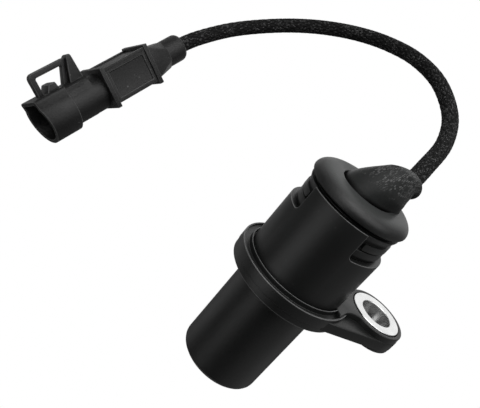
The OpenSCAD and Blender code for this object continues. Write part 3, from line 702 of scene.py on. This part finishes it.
retainer = {
    "outer": 9.42, "inner": 7.92, "low": 15.45, "top": 21.9, "lowRound": 0.1, "topRound": 0.2, "steps": 144,
    # low, high, radius below, radius above, arc in degrees, rounding of the ends
    "ribs": ((16.6, 18.2, 9.9, 9.9, 107, 0.3),
             (18.45, 19.85, 9.97, 9.97, 94, 0.65),
             (20.15, 21.75, 9.62, 10.35, 107, 0.2)),
    "ribIn": 8.6, "ribSteps": 44, "soft": 0.22,
}


def pointsOut(edge):
    a, b = (v.co for v in edge.verts)
    return abs(a.z - b.z) < 1e-6 and abs(a.xy.length - b.xy.length) > 0.5 * mm


def makeRetainer(r):
    ring = [(r["inner"], r["low"], 0), (r["outer"], r["low"], r["lowRound"]),
            (r["outer"], r["top"], r["topRound"]), (r["inner"], r["top"], 0)]
    bm = spunProfile(ring, r["steps"], closed=True)
    for at in housing["windowAt"]:
        for low, high, lowR, highR, arc, endRound in r["ribs"]:
            corners = [(r["ribIn"], low, 0), (lowR, low, 0), (highR, high, 0), (r["ribIn"], high, 0)]
            tongue = spunProfile(corners, r["ribSteps"], at - arc / 2, arc, closed=True)
            closeEnds(tongue)
            softenEdges(tongue, endRound, segments=5, pick=pointsOut)
            softenEdges(tongue, r["soft"], degrees=40)
            addTo(bm, tongue)
    makePiece("retainer", bm, housingNylon, ["boot_retainer"])


makeRetainer(retainer)


# Lead: the route's points are those of the part's source, in mm

lead = {
    "route": [(4.08, -2.1, 30.98), (7.3, 4.1, 33.6), (11.7, 13.8, 37.7), (13, 23.5, 41.5), (10.5, 33.5, 44.3),
              (6, 42, 44.6), (0.5, 48.7, 42.9), (-5.3, 53.8, 40.1), (-11.6, 57.3, 36.4), (-18, 58.8, 32.2),
              (-24.5, 58.2, 27.6), (-30.8, 55.1, 23.1), (-36, 49.6, 19.2), (-39.7, 44, 16),
              (-43.1, 38.6, 11.2)],
    "side": (-0.48, -0.19, 0.85), "diameter": 3.5, "sides": 48, "rings": 880,
    "weave": 0.11, "crown": 0.75, "crownSwing": 0.25,
}


def routePoint(route, place):
    # smooth curve through the route, place runs from 0 to 1
    spot = min(place * (len(route) - 1), len(route) - 1.000001)
    i = int(spot)
    t = spot - i
    a, b, c, d = (Vector(route[min(max(i + k, 0), len(route) - 1)]) for k in (-1, 0, 1, 2))
    return 0.5 * (2 * b + (c - a) * t + (2 * a - 5 * b + 4 * c - d) * t * t
                  + (3 * b - a - 3 * c + d) * t ** 3)


def weaveHeight(d, around, along):
    # strands of the two hands pass over and under each other
    first = around * braid["strands"] + along / braid["pitch"]
    second = around * braid["strands"] - along / braid["pitch"]
    over = d["crownSwing"] if (math.floor(first) + math.floor(second)) % 2 else -d["crownSwing"]
    return max(math.sin(math.pi * (first % 1)) * (d["crown"] + over),
               math.sin(math.pi * (second % 1)) * (d["crown"] - over))


def makeLead(d):
    steps = d["rings"]
    line = [routePoint(d["route"], k / steps) for k in range(steps + 1)]
    run = [0]
    for a, b in zip(line, line[1:]):
        run.append(run[-1] + (b - a).length)

    def place(around, ring):
        heading = (line[min(ring + 1, steps)] - line[max(ring - 1, 0)]).normalized()
        across = heading.cross(Vector(d["side"])).normalized()
        up = across.cross(heading)
        radius = d["diameter"] / 2 - d["weave"] * (1 - weaveHeight(d, around, run[ring]))
        turn = 2 * math.pi * around
        return line[ring] + radius * (math.cos(turn) * across + math.sin(turn) * up)

    bm = rolledGrid(d["sides"], steps, place, "braid", lambda ring: run[ring])
    piece = makePiece("lead", bm, leadBraid, ["lead_cable"], sharp=60)
    return piece, [p * mm for p in line], run[-1] * mm


leadPiece, leadPath, leadLength = makeLead(lead)


# Rubber boot: thick rounded rim and a hood that leans over to the lead

boot = {
    "rimR": 10.8, "rimLow": 22.5, "rimTop": 25.15, "lowRound": 0.55, "shoulder": 2.95, "shoulderH": 2.1,
    "shoulderSteps": 12, "rimSteps": 160, "lipR": 5.55, "lipEdge": 0.25, "lipDrop": 1.5,
    "plugR": 7.89, "plugLow": 20, "plugRound": 0.2, "plugFillet": 0.1,
    "baseAt": (1.2, 1.05, 24.25), "baseR": 6.15, "skirt": 1, "endAt": (2.3, -1.9, 30.5), "endR": 3.6,
    "lift": 0.5, "bow": 0.3, "pinch": 0.35, "dent": 0.35, "dentAt": -140,
    "tuck": 0.8, "tuckAt": -62, "tuckSpan": (0.15, 0.5), "flare": 0.9, "flareAt": -2, "flareSpan": 0.6,
    "endReach": 0.35, "endShare": 0.6, "mouthR": 1.95, "throat": 1.4,
    "rows": 28, "endRows": 8, "sides": 96,
}


def bootRim(b):
    corners = [(0, b["plugLow"], 0), (b["plugR"], b["plugLow"], b["plugRound"]),
               (b["plugR"], b["rimLow"], b["plugFillet"]), (b["rimR"], b["rimLow"], b["lowRound"])]
    for k in range(b["shoulderSteps"] + 1):
        a = math.radians(90 * k / b["shoulderSteps"])
        corners.append((b["rimR"] - b["shoulder"] + b["shoulder"] * math.cos(a),
                        b["rimTop"] - b["shoulderH"] + b["shoulderH"] * math.sin(a), 0))
    corners.append((b["lipR"], b["rimTop"], b["lipEdge"]))
    corners += [(r, b["rimTop"] - b["lipDrop"], 0) for r in (b["lipR"], 0)]
    return spunProfile(corners, b["rimSteps"])


def hoodBow(b, turn, t):
    # how far the hood's side stands out from a straight loft, t runs from its foot to its end
    def facing(at, power):
        return max(math.cos(turn - math.radians(b[at])), 0) ** power

    bow = math.sin(math.pi * t) * (b["bow"] - b["pinch"] * math.cos(turn) - b["dent"] * facing("dentAt", 4))
    u = min(max((t - b["tuckSpan"][0]) / (b["tuckSpan"][1] - b["tuckSpan"][0]), 0), 1)
    bow -= b["tuck"] * (1 - u * u * (3 - 2 * u)) * facing("tuckAt", 4)
    return bow + b["flare"] * facing("flareAt", 6) * max(1 - t / b["flareSpan"], 0)


def makeBoot(b):
    base, end = Vector(b["baseAt"]), Vector(b["endAt"])
    up = Vector((0, 0, 1))
    start = Vector(lead["route"][0])
    exitWay = (Vector(lead["route"][1]) - start).normalized()
    endWay = (exitWay + up * b["lift"]).normalized()
    onLead = start + exitWay * (end - start).dot(exitWay)
    lastRing = b["rows"] + b["endRows"] + 3

    def place(around, ring):
        turn = 2 * math.pi * around
        flat = Vector((math.cos(turn), math.sin(turn), 0))
        sunk = up * b["skirt"] if ring == 0 else up * 0    # the foot goes down into the crease
        ring = max(ring - 1, 0)
        if ring <= b["rows"]:
            t = ring / b["rows"]
            out = flat * (1 - t) * b["baseR"] + (up.rotation_difference(endWay) @ flat) * t * b["endR"]
            return base.lerp(end, t) + out + out.normalized() * hoodBow(b, turn, t) - sunk
        a = math.radians(90 * min((ring - b["rows"]) / b["endRows"], 1))
        reach = b["endReach"] * math.sin(a)
        radius = (b["endShare"] + (1 - b["endShare"]) * math.cos(a)) * b["endR"]
        if ring > b["rows"] + b["endRows"]:
            radius = b["mouthR"]
            reach -= b["throat"] * (ring == lastRing - 1)
        share = min(reach / b["endReach"], 1)
        way = endWay.lerp(exitWay, share).normalized()
        out = (up.rotation_difference(way) @ flat) * radius
        return end.lerp(onLead, max(share, 0)) + exitWay * reach + out

    bm = rolledGrid(b["sides"], lastRing, place, "hood", lambda ring: 1 + max(ring - 1, 0) / b["rows"])
    addTo(bm, bootRim(b))
    makePiece("boot", bm, bootRubber, ["cable_boot"], sharp=50)


makeBoot(boot)


# Plug, modelled in its own frame: x to the mouth, z to the latch loop

plug = {
    "at": (-39.7, 44, 16), "turn": (47.85, 37.3, -122.6),
    # sleeve and faceted shoulder
    "sleeveX": 1.3, "sleeveR": 3.1, "sleeveRound": 1.1, "sleeveIn": 0.4, "sleeveSteps": 72,
    "leadHole": 1.95, "holeDeep": 3, "holeRound": 0.3,
    "shoulderX": 6.2, "shoulderIn": 0.6, "shoulderSoft": 0.18, "facets": 8,
    # box with framed sides and two rails, between two plates
    "rearX": 11.6, "plateT": 1, "plateSoft": 0.16, "lip": 0.75,
    "boxLen": 10.5, "boxW": 9.8, "boxH": 7.7, "boxZ": 0.3, "boxIn": 0.2, "boxSoft": 0.1,
    "frameEdge": 0.95, "panelEdge": 0.12, "panelIn": 0.3,
    "railW": 0.6, "railOut": 0.12, "railH": 0.5, "railUp": 0.35, "railIn": 0.1, "railSoft": 0.1,
    # barrel with its flat key, and the shroud
    "barrelR": 4, "barrelIn": 0.6, "barrelSteps": 96,
    "keyX": 26.3, "keyTop": 4.4, "keyW": 7.6, "keyZ": 4.95, "keyRound": 1.5, "keyOver": 0.01, "keyIn": 0.3,
    "keySteps": 60,
    "ringX": 32, "ringR": 4.9, "ringRound": 0.7, "ringSoft": 0.22, "ringSlack": 0.1, "ringSteps": 73,
    "mouthX": 38.9, "mouthBack": 1.2, "mouthSoft": 0.14, "tilt": 6, "turnIn": 4, "wall": 0.85, "cave": 11.3,
    # latch loop with its wedge, and the ramp below
    "root": 0.4, "loopZ": 9.7, "loopW": 1.9, "loopT": 1.2, "legX": 36.9, "lean": 1.9, "loopEase": 0.1,
    "loopSoft": 0.22, "loopRounds": {1: 1.1, 2: 0.6, 5: 0.4, 6: 0.4},
    "wedgeX": 28, "wedgeW": 4.2, "wedgeT": 1.3, "wedgeRise": 0.3, "wedgeRounds": {2: 0.55, 3: 0.55},
    "rampX": 32.4, "rampLen": 3.1, "rampSlope": 1.2, "rampH": 1.9, "rampW": 4.6, "ribSoft": 0.25,
}
sideways = Matrix.Rotation(math.radians(90), 4, "Y")    # spun pieces lie along x
upright = Matrix.Rotation(math.radians(90), 4, "X")     # outlines drawn in x and z
crosswise = Matrix(((0, 0, 1, 0), (1, 0, 0, 0), (0, 1, 0, 0), (0, 0, 0, 1)))    # outlines drawn in y and z


def rib(outline, near, far, soft, rounds=None):
    return prism(outline, -near, -far, soft=soft, rounds=rounds, turn=upright)


def addSleeve(bm, p):
    hole, end = p["leadHole"], p["shoulderX"] + p["sleeveIn"]
    addTo(bm, spunProfile([
        (hole, p["sleeveX"] + p["holeDeep"], 0), (hole, p["sleeveX"], p["holeRound"]),
        (p["sleeveR"], p["sleeveX"], p["sleeveRound"]), (p["sleeveR"], end, 0),
        (hole, end, 0)], p["sleeveSteps"], closed=True, axisTurn=sideways))
    halfTurn = math.pi / p["facets"]
    first = math.degrees(halfTurn)
    facetR = p["sleeveR"] / math.cos(halfTurn)
    spots = [(p["shoulderX"], y, z) for y, z in circlePoints(facetR, p["facets"], (0, 0), first, first + 360)]
    halfW, halfH = (p["boxW"] - p["shoulderIn"]) / 2, (p["boxH"] - p["shoulderIn"]) / 2
    spots += [(p["rearX"] + p["boxIn"], sy * halfW, p["boxZ"] + sz * halfH)
              for sy in (-1, 1) for sz in (-1, 1)]
    hull = bmesh.new()
    bmesh.ops.convex_hull(hull, input=[hull.verts.new(Vector(s) * mm) for s in spots])
    bmesh.ops.dissolve_limit(hull, angle_limit=math.radians(1), verts=hull.verts[:], edges=hull.edges[:])
    softenEdges(hull, p["shoulderSoft"], degrees=25)
    addTo(bm, hull)


def addBox(bm, p, boxX, frontX):
    wide = (p["boxW"] + p["lip"]) / 2
    tall = p["boxH"] / 2 + p["lip"]
    for x in (p["rearX"], frontX):
        addTo(bm, block((x, x + p["plateT"]), (-wide, wide),
                        (p["boxZ"] - tall, p["boxZ"] + tall), p["plateSoft"]))
    halfW, low, top = p["boxW"] / 2, p["boxZ"] - p["boxH"] / 2, p["boxZ"] + p["boxH"] / 2
    box = block((boxX - p["boxIn"], frontX + p["boxIn"]), (-halfW, halfW), (low, top), 0)
    sides = [f for f in box.faces if abs(f.normal.y) > 0.9]
    for edge, depth in ((p["frameEdge"], 0), (p["panelEdge"], -p["panelIn"])):
        bmesh.ops.inset_individual(box, faces=sides, thickness=edge * mm, depth=depth * mm,
                                   use_even_offset=True)
    softenEdges(box, p["boxSoft"], degrees=40)
    addTo(bm, box)
    for side in (-1, 1):
        edge = sorted((side * (halfW - p["railW"]), side * (halfW + p["railOut"])))
        addTo(bm, block((boxX - p["railIn"], frontX + p["railIn"]), edge,
                        (top - p["railH"], top + p["railUp"]), p["railSoft"]))


def addBarrel(bm, p, frontX):
    barrelR, end = p["barrelR"], p["ringX"] + p["barrelIn"]
    addTo(bm, spunProfile([(0, frontX, 0), (barrelR, frontX, 0), (barrelR, end, 0), (0, end, 0)],
                          p["barrelSteps"], axisTurn=sideways))
    half, count = p["keyTop"] / 2, p["keySteps"]
    tangent = math.degrees(math.atan2(p["keyZ"], half) - math.acos(barrelR / math.hypot(half, p["keyZ"])))
    saddle = circlePoints(barrelR + p["keyOver"], count, (0, 0), 180 - tangent, 360 + tangent)
    saddle += [(half, p["keyZ"]), (-half, p["keyZ"])]
    rounds = {count: p["keyRound"], count + 1: p["keyRound"]}
    addTo(bm, prism(saddle, p["keyX"], p["ringX"] + p["keyIn"], rounds=rounds, turn=crosswise))


def makeShroud(p):
    # D-shaped ring with a slanted mouth and a deep cave
    half = p["keyW"] / 2
    foot = math.degrees(math.asin(math.sqrt(p["ringR"] ** 2 - half ** 2) / p["ringR"]))
    curve = circlePoints(p["ringR"], p["ringSteps"], (0, 0), 180 - foot, 360 + foot)
    outline = [(-y, z) for y, z in curve] + [(-half, p["keyZ"]), (half, p["keyZ"])]
    bm = bmesh.new()
    verts = wire(bm, [(p["ringX"], y, z) for y, z in outline], True)
    for vert in verts[-2:]:
        roundVert(bm, vert, p["ringRound"])
    rear = bmesh.ops.contextual_create(bm, geom=bm.edges[:])["faces"][0]
    pushed = bmesh.ops.extrude_face_region(bm, geom=[rear])["geom"]
    lean, skew = math.tan(math.radians(p["tilt"])), math.tan(math.radians(p["turnIn"]))
    for vert in pushed:
        if isinstance(vert, bmesh.types.BMVert):
            vert.co.x = p["mouthX"] * mm + vert.co.z * lean - vert.co.y * skew
    setNormals(bm)
    rearEnd = (p["ringX"] + p["ringSlack"]) * mm
    softenEdges(bm, p["ringSoft"], degrees=50, pick=lambda e: max(v.co.x for v in e.verts) < rearEnd)
    front = max((f for f in bm.faces if len(f.verts) > 20), key=lambda f: f.calc_center_median().x)
    bmesh.ops.inset_region(bm, faces=[front], thickness=p["wall"] * mm, use_even_offset=True)
    deep = bmesh.ops.extrude_discrete_faces(bm, faces=[front])["faces"]
    bmesh.ops.translate(bm, vec=(-p["cave"] * mm, 0, 0), verts=deep[0].verts[:])
    setNormals(bm)
    mouthFrom = (p["mouthX"] - p["mouthBack"]) * mm
    mouthEdges = [e for e in sharpEdges(bm, 50) if min(v.co.x for v in e.verts) > mouthFrom]
    roundEdges(bm, mouthEdges, p["mouthSoft"])
    return bm


def addLatch(bm, p):
    low, top = p["keyZ"] - p["root"], p["loopZ"]
    leg, wedge, thick = p["legX"], p["wedgeX"], p["loopT"]
    heel, crest = wedge + p["lean"], top + p["wedgeRise"]
    halfLoop = p["loopW"] / 2
    addTo(bm, rib([(leg, low), (leg, top), (wedge, top), (heel, low), (heel + thick, low),
                   (wedge + thick + p["loopEase"], top - thick), (leg - thick, top - thick),
                   (leg - thick, low)], -halfLoop, halfLoop, p["loopSoft"], p["loopRounds"]))
    addTo(bm, rib([(wedge - p["wedgeT"], low), (heel, low), (wedge, crest),
                   (wedge - p["wedgeT"] + p["wedgeRise"], crest)],
                  -halfLoop, p["wedgeW"] / 2, p["ribSoft"], p["wedgeRounds"]))
    rampEnd, rampTop = p["rampX"] + p["rampLen"], low + p["rampH"]
    addTo(bm, rib([(p["rampX"], low), (rampEnd, low), (rampEnd - p["rampSlope"], rampTop),
                   (p["rampX"] + p["root"], rampTop)], -p["rampW"] / 2, p["rampW"] / 2, p["ribSoft"]))


def makePlug(p):
    boxX = p["rearX"] + p["plateT"]
    frontX = boxX + p["boxLen"]
    bm = bmesh.new()
    addSleeve(bm, p)
    addBox(bm, p, boxX, frontX)
    addBarrel(bm, p, frontX)
    addTo(bm, makeShroud(p))
    addLatch(bm, p)
    place = Matrix.Translation(Vector(p["at"]) * mm) @ turned(p["turn"]).to_4x4()
    bmesh.ops.transform(bm, matrix=place, verts=bm.verts[:])
    markEdges(bm)
    return makePiece("plug", bm, plugNylon, ["plug_shell"])


plugPiece = makePlug(plug)


# Inner pieces keep their solids and take the finish of their slot

finishes = {
    "pole_iron": poleIron, "bobbin_plastic": bobbinNylon, "coil_copper": coilCopper,
    "magnet_ceramic": magnetCeramic, "contact_brass": contactBrass, "potting_resin": pottingResin,
    "seal_rubber": sealRubber, "splice_tin": spliceTin, "core_jacket": coreJacket,
    "housing_plastic": housingNylon, "bushing_steel": bushingSteel, "boot_rubber": bootRubber,
    "lead_braid": leadBraid, "plug_plastic": plugNylon,
}
for part in frame["record"]["subparts"]:
    node = frame["nodes"][part["node"]]
    node.data.materials.clear()
    node.data.materials.append(finishes[part["material_slot"]])
print("inner pieces finished")


# Studio: white surround, pale floor far below and soft lamps

studio = {
    "floorAt": (-10, 20, -600), "floorR": 250, "floorTone": (0.8, 0.8, 0.8, 1), "white": (1, 1, 1, 1),
    "skyWay": (0.257, 0.877, 0.405), "skyStops": ((0.0, 0.02), (0.27, 0.08), (0.75, 0.11), (0.94, 0.95)),
    "sideWay": (0.83, -0.38, -0.40), "sideStops": ((0.8, 0.0), (0.93, 0.2)),
    # the lamps' ways are right, up and towards the camera
    "lampsAt": (0, 15, 10), "lampFar": 420,
    "lamps": {
        "overheadLamp": {"way": (0.5, 0.7, 0.5), "size": 300, "power": 0.7},
        "topLamp": {"way": (0.1, 0.5, 0.85), "size": 420, "power": 0.75},
        "rightLamp": {"way": (0.75, 0.18, 0.63), "size": 420, "power": 0.9},
        "frontLamp": {"way": (-0.55, 0.28, 0.79), "size": 420, "power": 0.3},
        "leftLamp": {"way": (-0.85, -0.2, 0.5), "size": 260, "power": 0.22},
        "backLamp": {"way": (-0.8, 0.38, -0.46), "size": 420, "power": 0.16},
    },
}


def makeWorld(s):
    world = bpy.data.worlds.new("studioWorld")
    scene.world = world
    tree = emptyTree(world)
    way = nodeIn(tree, "ShaderNodeTexCoord").outputs["Generated"]

    def glowFrom(direction, levels):
        facing = nodeIn(tree, "ShaderNodeVectorMath", {0: way, 1: direction}, operation="DOT_PRODUCT")
        share = rangeIn(tree, facing.outputs["Value"], -1.0, 1.0)
        ramp = nodeIn(tree, "ShaderNodeValToRGB", {"Fac": share})
        stops = ramp.color_ramp.elements
        while len(stops) < len(levels):
            stops.new(0.5)
        for stop, (place, level) in zip(stops, levels):
            stop.position = place
            stop.color = (level, level, level, 1)
        ramp.color_ramp.interpolation = "EASE"
        return ramp.outputs["Color"]

    light = nodeIn(tree, "ShaderNodeVectorMath", {
        0: glowFrom(s["skyWay"], s["skyStops"]), 1: glowFrom(s["sideWay"], s["sideStops"])}, operation="ADD")
    ray = nodeIn(tree, "ShaderNodeLightPath").outputs["Is Camera Ray"]
    colour = mixIn(tree, ray, light.outputs[0], s["white"])
    glow = nodeIn(tree, "ShaderNodeBackground", {"Color": colour, "Strength": 1.0})
    out = nodeIn(tree, "ShaderNodeOutputWorld")
    tree.links.new(glow.outputs[0], out.inputs["Surface"])


def makeFloor(s):
    bm = bmesh.new()
    bmesh.ops.create_circle(bm, cap_ends=True, segments=96, radius=s["floorR"] * mm)
    bmesh.ops.translate(bm, vec=Vector(s["floorAt"]) * mm, verts=bm.verts[:])
    mesh = bpy.data.meshes.new("floor")
    bm.to_mesh(mesh)
    bm.free()
    floor = bpy.data.objects.new("floor", mesh)
    scene.collection.objects.link(floor)
    material = bpy.data.materials.new("floorWhite")
    tree = emptyTree(material)
    matt = nodeIn(tree, "ShaderNodeBsdfDiffuse", {"Color": s["floorTone"]}).outputs[0]
    glow = nodeIn(tree, "ShaderNodeEmission", {"Color": s["white"], "Strength": 1.0}).outputs[0]
    ray = nodeIn(tree, "ShaderNodeLightPath").outputs["Is Camera Ray"]
    mix = nodeIn(tree, "ShaderNodeMixShader", {"Fac": ray, 1: matt, 2: glow})
    out = nodeIn(tree, "ShaderNodeOutputMaterial")
    tree.links.new(mix.outputs[0], out.inputs["Surface"])
    mesh.materials.append(material)


def makeLamps(s):
    for name, values in s["lamps"].items():
        data = bpy.data.lights.new(name, "AREA")
        data.shape = "DISK"
        data.size = values["size"] * mm
        data.energy = values["power"]
        lamp = bpy.data.objects.new(name, data)
        scene.collection.objects.link(lamp)
        way = cameraTurn @ Vector(values["way"]).normalized()
        place = (Vector(s["lampsAt"]) + way * s["lampFar"]) * mm
        lamp.matrix_world = Matrix.Translation(place) @ way.to_track_quat("Z", "Y").to_matrix().to_4x4()


makeWorld(studio)
makeFloor(studio)
makeLamps(studio)
scene.view_settings.view_transform = "Standard"
print("studio ready")
